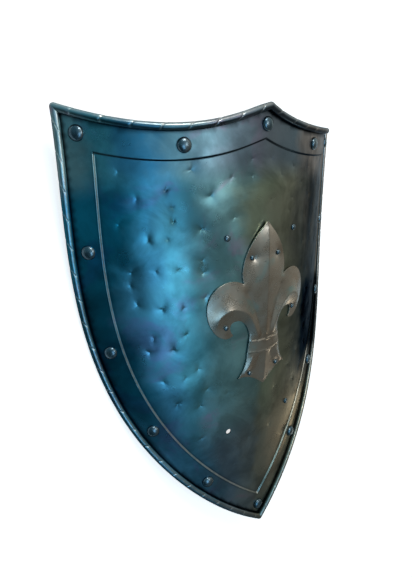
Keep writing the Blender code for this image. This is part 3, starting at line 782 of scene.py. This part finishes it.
class Embossing:
    """The fleur-de-lis's height over its flat edge, on a square grid, as a skin stretched over its ridges."""

    def __init__(self):
        self.low = np.array((-EMBOSS_HALF, on_fleur(EMBOSS_FOOT)[1]))
        self.outline = fleur_outline()
        heights = None
        for pitch, rounds in EMBOSS_STAGES:
            heights = self.stretched(pitch, rounds, heights)
        for _ in range(2):
            heights = self.softened(heights)
        self.heights = heights

    def cells(self, pitch):
        """How many grid points there are each way."""
        return round(2 * EMBOSS_HALF / pitch) + 1, round(EMBOSS_HEIGHT / pitch) + 1

    def stretched(self, pitch, rounds, start):
        """The skin at one pitch, from the one before."""
        across, up = self.cells(pitch)
        u, v = np.meshgrid(self.low[0] + np.arange(across) * pitch, self.low[1] + np.arange(up) * pitch,
                           indexing="ij")
        flat = np.stack((u.ravel(), v.ravel()), axis=1)
        free = inside(flat, self.outline).reshape(u.shape)
        heights = np.zeros(u.shape) if start is None else np.kron(start, np.ones((2, 2)))[:across, :up]
        heights = np.pad(heights, ((0, across - heights.shape[0]), (0, up - heights.shape[1])))
        heights[~free] = 0
        unit = FLEUR_HEIGHT / FIGURE_HEIGHT

        def pin(line, side):
            """Hold the skin at a line's heights."""
            line = through(line, 40)
            at = np.round((on_fleur(line, side) - self.low) / pitch).astype(int)
            heights[at[:, 0], at[:, 1]] = line[:, 2] * unit
            free[at[:, 0], at[:, 1]] = False

        for side in (-1, 1):
            for line in (SIDE_RIDGE, PETAL_CREASE, FOOT_RIDGE, FOOT_CREASE, PETAL_RIDGE, TOE_RIDGE):
                pin(line, side)
            for line in (BAND_TOP, BAND_FOOT):
                fade = [1 - BAND_FADE * i / (len(line) - 1) for i in range(len(line))]
                pin([(*p, (BAND_RISE - BAND_STEP) * f) for p, f in zip(line, fade)], side)
        for place in FLEUR_RIVETS:
            for side in (-1, 1):
                pad = np.hypot(*(flat - on_fleur(place, side)).T).reshape(u.shape) < FLEUR_RIVET_PAD
                heights[pad] = 0
                free[pad] = False
        for _ in range(rounds):
            mean = (heights[:-2, 1:-1] + heights[2:, 1:-1] + heights[1:-1, :-2] + heights[1:-1, 2:]) / 4
            heights[1:-1, 1:-1] = np.where(free[1:-1, 1:-1], mean, heights[1:-1, 1:-1])
        return heights

    def softened(self, heights):
        """The skin with its ridges a little rounder."""
        rounder = heights.copy()
        rounder[1:-1, 1:-1] = (heights[1:-1, 1:-1] * 4 + heights[:-2, 1:-1] + heights[2:, 1:-1]
                               + heights[1:-1, :-2] + heights[1:-1, 2:]) / 8
        return rounder

    def rise(self, points):
        """The embossing's height at flat points."""
        at = (points - self.low) / EMBOSS_PITCH
        cell = np.clip(np.floor(at).astype(int), 0, np.array(self.heights.shape) - 2)
        x, y = (at - cell).T
        i, j = cell.T
        h = self.heights
        low, high = (h[i, row] * (1 - x) + h[i + 1, row] * x for row in (j, j + 1))
        return low * (1 - y) + high * y

    def band(self, points):
        """The waist band's height over the embossing at flat points."""
        unit = FLEUR_HEIGHT / FIGURE_HEIGHT
        figure = (points + (0, FLEUR_DROP * HEIGHT)) / unit
        away = np.abs(figure[:, 0])
        top = np.interp(away, [p[0] for p in BAND_TOP], [p[1] for p in BAND_TOP])
        foot = np.interp(away, [p[0] for p in BAND_FOOT], [p[1] for p in BAND_FOOT])
        inset = np.minimum(top - figure[:, 1], figure[:, 1] - foot)
        fade = 1 - BAND_FADE * np.clip(away / BAND_TOP[-1][0], 0, 1)
        lip = BAND_LIP[0] * bump(inset, *BAND_LIP[1:])
        return unit * fade * (BAND_STEP * smooth(inset / BAND_EDGE) + lip)

    def lifts(self, points):
        """The fleur-de-lis's front face's lift at flat points."""
        top, held = on_fleur((0, 0))[1], on_fleur(FLEUR_RIVETS[0])[1]
        spring = FLEUR_SPRING * np.clip((points[:, 1] - held) / (top - held), 0, 1)
        return FIELD + FIT_GAP + FLEUR_SHEET + spring + self.rise(points) + self.band(points)


def make_fleur(material):
    """The embossed fleur-de-lis, with a rounded edge."""
    emboss, surface = Embossing(), Surface()
    outline = emboss.outline
    steps = inward(outline)
    steps *= np.minimum(1, CORNER_LIMIT / np.linalg.norm(steps, axis=1))[:, None]
    rim = outline + steps * FLEUR_RIM
    count = len(rim)
    flat = Flat()
    flat.loop(rim)
    more = grid(FLEUR_PITCH)
    more = more[((more > outline.min(axis=0)) & (more < outline.max(axis=0))).all(axis=1)]
    more = more[inside(more, rim)]
    flat.add(more[distance_to(more, rim) > FLEUR_RIM_ROOM])
    points, triangles = flat.triangles()
    normals = normals_of(points, emboss.lifts)
    lifts = emboss.lifts(points)
    front = surface.add(bent(points, lifts), normals)
    surface.faces += triangles.tolist()

    out = -steps / np.linalg.norm(steps, axis=1)[:, None]
    level = turned(outline, out, 0 * out[:, :1])
    soft = level + normals[:count]
    soft /= np.linalg.norm(soft, axis=1)[:, None]
    edge_lift = emboss.lifts(outline)
    rows = [front[:count]]
    for (inset, depth), direction in zip(FLEUR_EDGE, (soft, level, level)):
        rows.append(surface.add(bent(outline + steps * inset, edge_lift - depth), direction))
    surface.grid([row[::-1] for row in rows])
    back = surface.add(bent(points, lifts - FLEUR_SHEET), -normals)
    surface.faces += back[triangles[:, ::-1]].tolist()
    return surface.made("fleur", material)


def rivet_profile(size, grip):
    """Half a rivet's outline from its top down: dome, shank and peened tail."""
    seat = grip + FIT_GAP
    angles = np.linspace(0, math.pi / 2, DOME_ARCS + 1)
    profile = [(size["head"] * math.sin(a), seat + size["dome"] * math.cos(a) ** DOME_FULLNESS)
               for a in angles]
    profile += [(size["shank"], seat), (size["shank"], -FIT_GAP), (size["tail"], -FIT_GAP),
                (size["tail"] * PEEN_FLAT, -FIT_GAP - size["peen"] * PEEN_STEP), (0, -FIT_GAP - size["peen"])]
    return np.array(profile)


def make_rivet(name, size, grip, place, base, material):
    """One rivet, square to the bent sheet at its place, on the sheet's back at that lift."""
    profile = rivet_profile(size, grip)
    turn = np.arange(RIVET_SIDES) * 2 * math.pi / RIVET_SIDES
    places = np.stack((profile[:, None, 0] * np.cos(turn), profile[:, None, 0] * np.sin(turn),
                       profile[:, None, 1] + 0 * turn), axis=2)
    first = np.arange(len(profile) * RIVET_SIDES).reshape(len(profile), RIVET_SIDES)
    following = np.roll(first, -1, axis=1)
    faces = np.stack((first[:-1], first[1:], following[1:], following[:-1]), axis=2).reshape(-1, 4)
    tilt = np.array(Matrix.Rotation(place[0] / BEND_RADIUS, 3, "Y"))
    at = bent(np.asarray(place)[None], np.array([base]))[0]
    mesh = bpy.data.meshes.new(name)
    mesh.from_pydata(laid(places.reshape(-1, 3) @ tilt.T + at).tolist(), [], faces.tolist())
    mesh.shade_smooth()
    mesh.set_sharp_from_angle(angle=math.radians(40))
    return new_object(name, mesh, material)


def rivet_list():
    """Each rivet: its node's name, sizes, grip, place on the blank, and the lift of the back under it."""
    rivets = [(f"border_rivet_{i + 1:02d}", BORDER_RIVET, SHEET, place, 0)
              for i, place in enumerate(border_rivet_places())]
    rivets += [(f"strap_rivet_{name}", STRAP_RIVET, SHEET, place, -STEP_DEPTH)
               for name, place in strap_places().items() if name != MISSING_RIVET]
    places = [on_fleur(p, side) for p in FLEUR_RIVETS for side in (-1, 1)]
    return rivets + [(f"fleur_rivet_{i + 1}", FLEUR_RIVET, SHEET + FIT_GAP + FLEUR_SHEET, place, -STEP_DEPTH)
                     for i, place in enumerate(places)]


class Nodes:
    """A material's or world's nodes, added and joined in short calls."""

    def __init__(self, owner):
        owner.use_nodes = True
        self.nodes, self.links = owner.node_tree.nodes, owner.node_tree.links

    def add(self, kind, inputs=None, **settings):
        """A node with its settings, and its inputs given as numbers or as other nodes' outputs."""
        node = self.nodes.new(kind)
        for name, value in settings.items():
            setattr(node, name, value)
        for name, value in (inputs or {}).items():
            if isinstance(value, bpy.types.NodeSocket):
                self.links.new(value, node.inputs[name])
            else:
                node.inputs[name].default_value = value
        return node

    def place(self):
        """The point on the object, in metres."""
        return self.add("ShaderNodeTexCoord").outputs["Object"]

    def noise(self, scale, detail=3.0, roughness=0.5, distortion=0.0, stretch=(1, 1, 1)):
        """Cloudy noise from 0 to 1."""
        moved = self.add("ShaderNodeMapping", {"Vector": self.place(), "Scale": stretch})
        inputs = {"Vector": moved.outputs[0], "Scale": scale, "Detail": detail, "Roughness": roughness,
                  "Distortion": distortion}
        return self.add("ShaderNodeTexNoise", inputs).outputs["Fac"]

    def math(self, operation, a, b=0.0, clamp=False):
        """A sum of one or two numbers."""
        node = self.add("ShaderNodeMath", {0: a, 1: b}, operation=operation)
        node.use_clamp = clamp
        return node.outputs[0]

    def ramp(self, share, stops):
        """Colours along a number: stops of place and colour."""
        node = self.add("ShaderNodeValToRGB", {"Fac": share})
        node.color_ramp.interpolation = "EASE"
        elements = node.color_ramp.elements
        while len(elements) < len(stops):
            elements.new(0.5)
        for element, (at, colour) in zip(elements, stops):
            element.position = at
            element.color = (*colour, 1) if isinstance(colour, tuple) else (colour, colour, colour, 1)
        return node.outputs["Color"]

    def mix(self, share, a, b, blend="MIX"):
        """Two colours mixed."""
        node = self.add("ShaderNodeMix", {"Factor": share}, data_type="RGBA", blend_type=blend)
        for socket, value in ((node.inputs[6], a), (node.inputs[7], b)):
            if isinstance(value, bpy.types.NodeSocket):
                self.links.new(value, socket)
            else:
                socket.default_value = (*value, 1)
        return node.outputs[2]

    def drift(self, value, amount, *noise):
        """A number moved up or down by cloudy noise."""
        cloud = self.math("SUBTRACT", self.noise(*noise), 0.5)
        return self.math("ADD", value, self.math("MULTIPLY", cloud, amount))

    def offset(self, value, middle, half):
        """The square of how far a number is from the middle, in halves."""
        return self.math("POWER", self.math("DIVIDE", self.math("SUBTRACT", value, middle), half), 2.0)

    def remap(self, value, low, high, to_low=0.0, to_high=1.0):
        """A number from one range to another, eased."""
        node = self.add("ShaderNodeMapRange", {"Value": value, "From Min": low, "From Max": high,
                                               "To Min": to_low, "To Max": to_high},
                        interpolation_type="SMOOTHSTEP")
        return node.outputs["Result"]


def new_steel(name):
    """A bare metal: the material, its nodes and its shader."""
    material = bpy.data.materials.new(name)
    n = Nodes(material)
    shader = n.nodes["Principled BSDF"]
    shader.inputs["Metallic"].default_value = 1.0
    return material, n, shader


def blued_steel():
    """Blued steel: teal and blue to the left, olive and brown to the right, with a painted dark reflection
    there.
    """
    material, n, shader = new_steel("blued steel")
    apart = n.add("ShaderNodeSeparateXYZ", {"Vector": n.place()})
    x = n.drift(apart.outputs["X"], 0.13, 9, 4, 0.6)
    y = n.drift(apart.outputs["Y"], 0.16, 7, 3)
    share = n.math("MULTIPLY", n.math("ADD", x, COLOUR_HALF), 1 / (2 * COLOUR_HALF), clamp=True)
    # The top band grows pale and pinkish towards the right ear: painted reflection. The upper part's light
    # blue band left of the middle is partly the steel's blued tint and partly painted reflection.
    top = n.ramp(share, ((0.0, (0.45, 0.62, 0.62)), (0.08, (0.18, 0.55, 0.62)), (0.15, (0.09, 0.33, 0.48)),
                         (0.23, (0.24, 0.42, 0.46)), (0.32, (0.17, 0.30, 0.36)), (0.41, (0.24, 0.33, 0.40)),
                         (0.50, (0.22, 0.27, 0.32)), (0.60, (0.17, 0.23, 0.28)), (0.70, (0.34, 0.32, 0.31)),
                         (0.80, (0.85, 0.74, 0.66)), (1.0, (1.0, 0.88, 0.80))))
    upper = n.ramp(share, ((0.0, (0.02, 0.17, 0.24)), (0.08, (0.02, 0.22, 0.31)), (0.15, (0.13, 0.39, 0.52)),
                           (0.23, (0.15, 0.43, 0.47)), (0.32, (0.25, 0.51, 0.54)), (0.41, (0.32, 0.60, 0.62)),
                           (0.50, (0.38, 0.46, 0.34)), (0.60, (0.34, 0.36, 0.28)), (0.68, (0.24, 0.25, 0.22)),
                           (0.77, (0.19, 0.18, 0.16)), (0.85, (0.36, 0.34, 0.30)), (1.0, (0.44, 0.42, 0.38))))
    lower = n.ramp(share, ((0.0, (0.14, 0.44, 0.54)), (0.15, (0.14, 0.37, 0.52)), (0.24, (0.11, 0.29, 0.40)),
                           (0.32, (0.21, 0.30, 0.38)), (0.42, (0.26, 0.32, 0.34)), (0.50, (0.34, 0.35, 0.29)),
                           (0.60, (0.56, 0.50, 0.38)), (0.72, (0.78, 0.68, 0.50)), (1.0, (0.86, 0.80, 0.62))))
    dim = n.ramp(share, ((0.0, (1.3, 1.8, 1.8)), (0.13, (1.2, 1.6, 1.6)), (0.20, (0.65, 0.67, 0.70)),
                         (0.34, (0.62, 0.64, 0.66)), (0.44, (0.9, 0.9, 0.9)), (1.0, (0.9, 0.9, 0.9))))
    upper = n.mix(1.0, upper, n.mix(n.remap(y, 0.10, 0.16), (1, 1, 1), dim), "MULTIPLY")
    colour = n.mix(n.remap(y, *LOWER_PART), upper, lower)
    colour = n.mix(n.remap(apart.outputs["Y"], *TOP_BAND), colour, top)
    mottle = n.ramp(n.noise(18, 5, 0.6, 0.5), ((0.34, 0.62), (0.66, 1.05)))
    colour = n.mix(1.0, colour, mottle, "MULTIPLY")
    purple = n.mix(1.0, colour, (1.45, 0.84, 1.0), "MULTIPLY")
    clouds = n.remap(n.noise(13, 4, 0.6, 0.8), 0.52, 0.66)
    colour = n.mix(n.math("MULTIPLY", clouds, n.remap(x, 0.0, -0.05)), colour, purple)
    streak = n.ramp(n.noise(60, 3, 0.6, 0.0, (1, 0.10, 1)), ((0.35, 0.65), (0.65, 1.0)))
    colour = n.mix(n.remap(x, 0.02, 0.12), colour, n.mix(1.0, colour, streak, "MULTIPLY"))
    # A near-black patch on the right: a painted dark reflection
    wide = n.offset(x, DARK_REFLECTION_AT[0], DARK_REFLECTION_HALF[0])
    high = n.offset(y, DARK_REFLECTION_AT[1], DARK_REFLECTION_HALF[1])
    colour = n.mix(n.remap(n.math("ADD", wide, high), 1.2, 0.4), colour, (0.006, 0.008, 0.009))
    stored = n.add("ShaderNodeAttribute", attribute_name="painted_light_and_wear")
    painted_light_and_wear = n.add("ShaderNodeSeparateColor", {"Color": stored.outputs["Color"]})
    uneven = n.ramp(n.noise(150, 3, 0.6), ((0.35, 0.6), (0.6, 1.0)))
    # Painted highlight, with the tool marks' worn bright metal, in pale grey
    colour = n.mix(n.math("MULTIPLY", painted_light_and_wear.outputs[0], uneven), colour, (0.74, 0.74, 0.70))
    # Painted shade, near black
    colour = n.mix(n.math("MULTIPLY", painted_light_and_wear.outputs[1], 0.88), colour, (0.015, 0.020, 0.024))
    n.links.new(colour, shader.inputs["Base Color"])
    shader.inputs["Specular Tint"].default_value = (0.30, 0.34, 0.38, 1)
    rough = n.remap(n.noise(40, 4, 0.6), 0.3, 0.7, 0.27, 0.36)
    n.links.new(rough, shader.inputs["Roughness"])
    grain = n.add("ShaderNodeBump", {"Height": n.noise(260, 3, 0.6), "Strength": 0.12, "Distance": 0.0004})
    n.links.new(grain.outputs[0], shader.inputs["Normal"])
    return material


def burnished_steel():
    """The fleur-de-lis's browner steel."""
    material, n, shader = new_steel("burnished steel")
    colour = n.ramp(n.noise(22, 4, 0.6, 0.4), ((0.30, (0.37, 0.30, 0.23)), (0.52, (0.44, 0.40, 0.34)),
                                               (0.72, (0.32, 0.45, 0.43))))
    n.links.new(colour, shader.inputs["Base Color"])
    rough = n.remap(n.noise(60, 4, 0.6), 0.3, 0.7, 0.24, 0.34)
    n.links.new(rough, shader.inputs["Roughness"])
    return material


def rivet_steel():
    """The rivets' dark, polished steel."""
    material, n, shader = new_steel("rivet steel")
    colour = n.ramp(n.noise(120, 3, 0.6), ((0.30, (0.10, 0.16, 0.20)), (0.70, (0.22, 0.28, 0.31))))
    n.links.new(colour, shader.inputs["Base Color"])
    shader.inputs["Roughness"].default_value = 0.27
    return material


def make_camera():
    """The photograph's view."""
    data = bpy.data.cameras.new("view")
    data.sensor_fit = "VERTICAL"
    data.sensor_height = SENSOR
    data.lens = LENS
    camera = bpy.data.objects.new("view", data)
    camera.matrix_world = Matrix(CAMERA)
    bpy.context.scene.collection.objects.link(camera)
    bpy.context.scene.camera = camera


def make_floor():
    """A plain pale floor, evenly lit to the eye and dim in the shield's reflections."""
    mesh = bpy.data.meshes.new("floor")
    corners = [(FLOOR_SIZE * x, FLOOR_SIZE * y, 0) for x, y in ((-1, -1), (1, -1), (1, 1), (-1, 1))]
    mesh.from_pydata(corners, [], [(0, 1, 2, 3)])
    material = bpy.data.materials.new("pale floor")
    n = Nodes(material)
    shader = n.nodes["Principled BSDF"]
    shader.inputs["Base Color"].default_value = (0.85, 0.85, 0.85, 1)
    shader.inputs["Roughness"].default_value = 0.9
    shader.inputs["Specular IOR Level"].default_value = 0.0
    shader.inputs["Emission Color"].default_value = (0.75, 0.75, 0.75, 1)
    seen = n.add("ShaderNodeLightPath").outputs["Is Camera Ray"]
    n.links.new(seen, shader.inputs["Emission Strength"])
    floor = new_object("floor", mesh, material)


def make_light(name, place, target, size, power, colour):
    """A soft area light that looks at a place."""
    data = bpy.data.lights.new(name, "AREA")
    data.shape = "RECTANGLE"
    data.size, data.size_y = size
    data.energy = power
    data.color = colour
    lamp = bpy.data.objects.new(name, data)
    lamp.location = place
    lamp.rotation_euler = (Vector(target) - Vector(place)).to_track_quat("-Z", "Y").to_euler()
    bpy.context.scene.collection.objects.link(lamp)


def make_world():
    """A dim room: dark and teal to the left, greyer to the right, lighter past the shield's top."""
    world = bpy.data.worlds.new("studio")
    n = Nodes(world)
    way = n.add("ShaderNodeSeparateXYZ", {"Vector": n.add("ShaderNodeTexCoord").outputs["Generated"]})
    across = n.math("MULTIPLY", n.math("ADD", way.outputs["X"], 1.0), 0.5)
    along = n.math("MULTIPLY", n.math("ADD", way.outputs["Y"], 1.0), 0.5)
    colour = n.ramp(across, ROOM_ACROSS)
    shade = n.ramp(along, ROOM_ALONG)
    background = n.nodes["Background"]
    n.links.new(n.mix(1.0, colour, shade, "MULTIPLY"), background.inputs["Color"])
    background.inputs["Strength"].default_value = ROOM_STRENGTH
    bpy.context.scene.world = world


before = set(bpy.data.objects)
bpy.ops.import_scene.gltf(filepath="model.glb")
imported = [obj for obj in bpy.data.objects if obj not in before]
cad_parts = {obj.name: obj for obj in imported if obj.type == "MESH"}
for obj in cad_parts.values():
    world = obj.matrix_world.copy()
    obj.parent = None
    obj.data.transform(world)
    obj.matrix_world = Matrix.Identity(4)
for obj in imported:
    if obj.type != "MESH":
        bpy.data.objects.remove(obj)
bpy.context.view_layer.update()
bpy.context.scene.view_settings.view_transform = "Standard"

make_camera()
make_floor()
make_world()
for light in LIGHTS:
    make_light(*light)

plate = make_plate(Relief(), blued_steel())
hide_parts("shield_plate")
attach(plate, "root")

fleur = make_fleur(burnished_steel())
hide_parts("fleur_de_lis")
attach(fleur, "root")

bright = rivet_steel()
for name, size, grip, place, base in rivet_list():
    piece = make_rivet(name.replace("rivet", "dome"), size, grip, place, base, bright)
    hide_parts(name)
    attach(piece, "root")
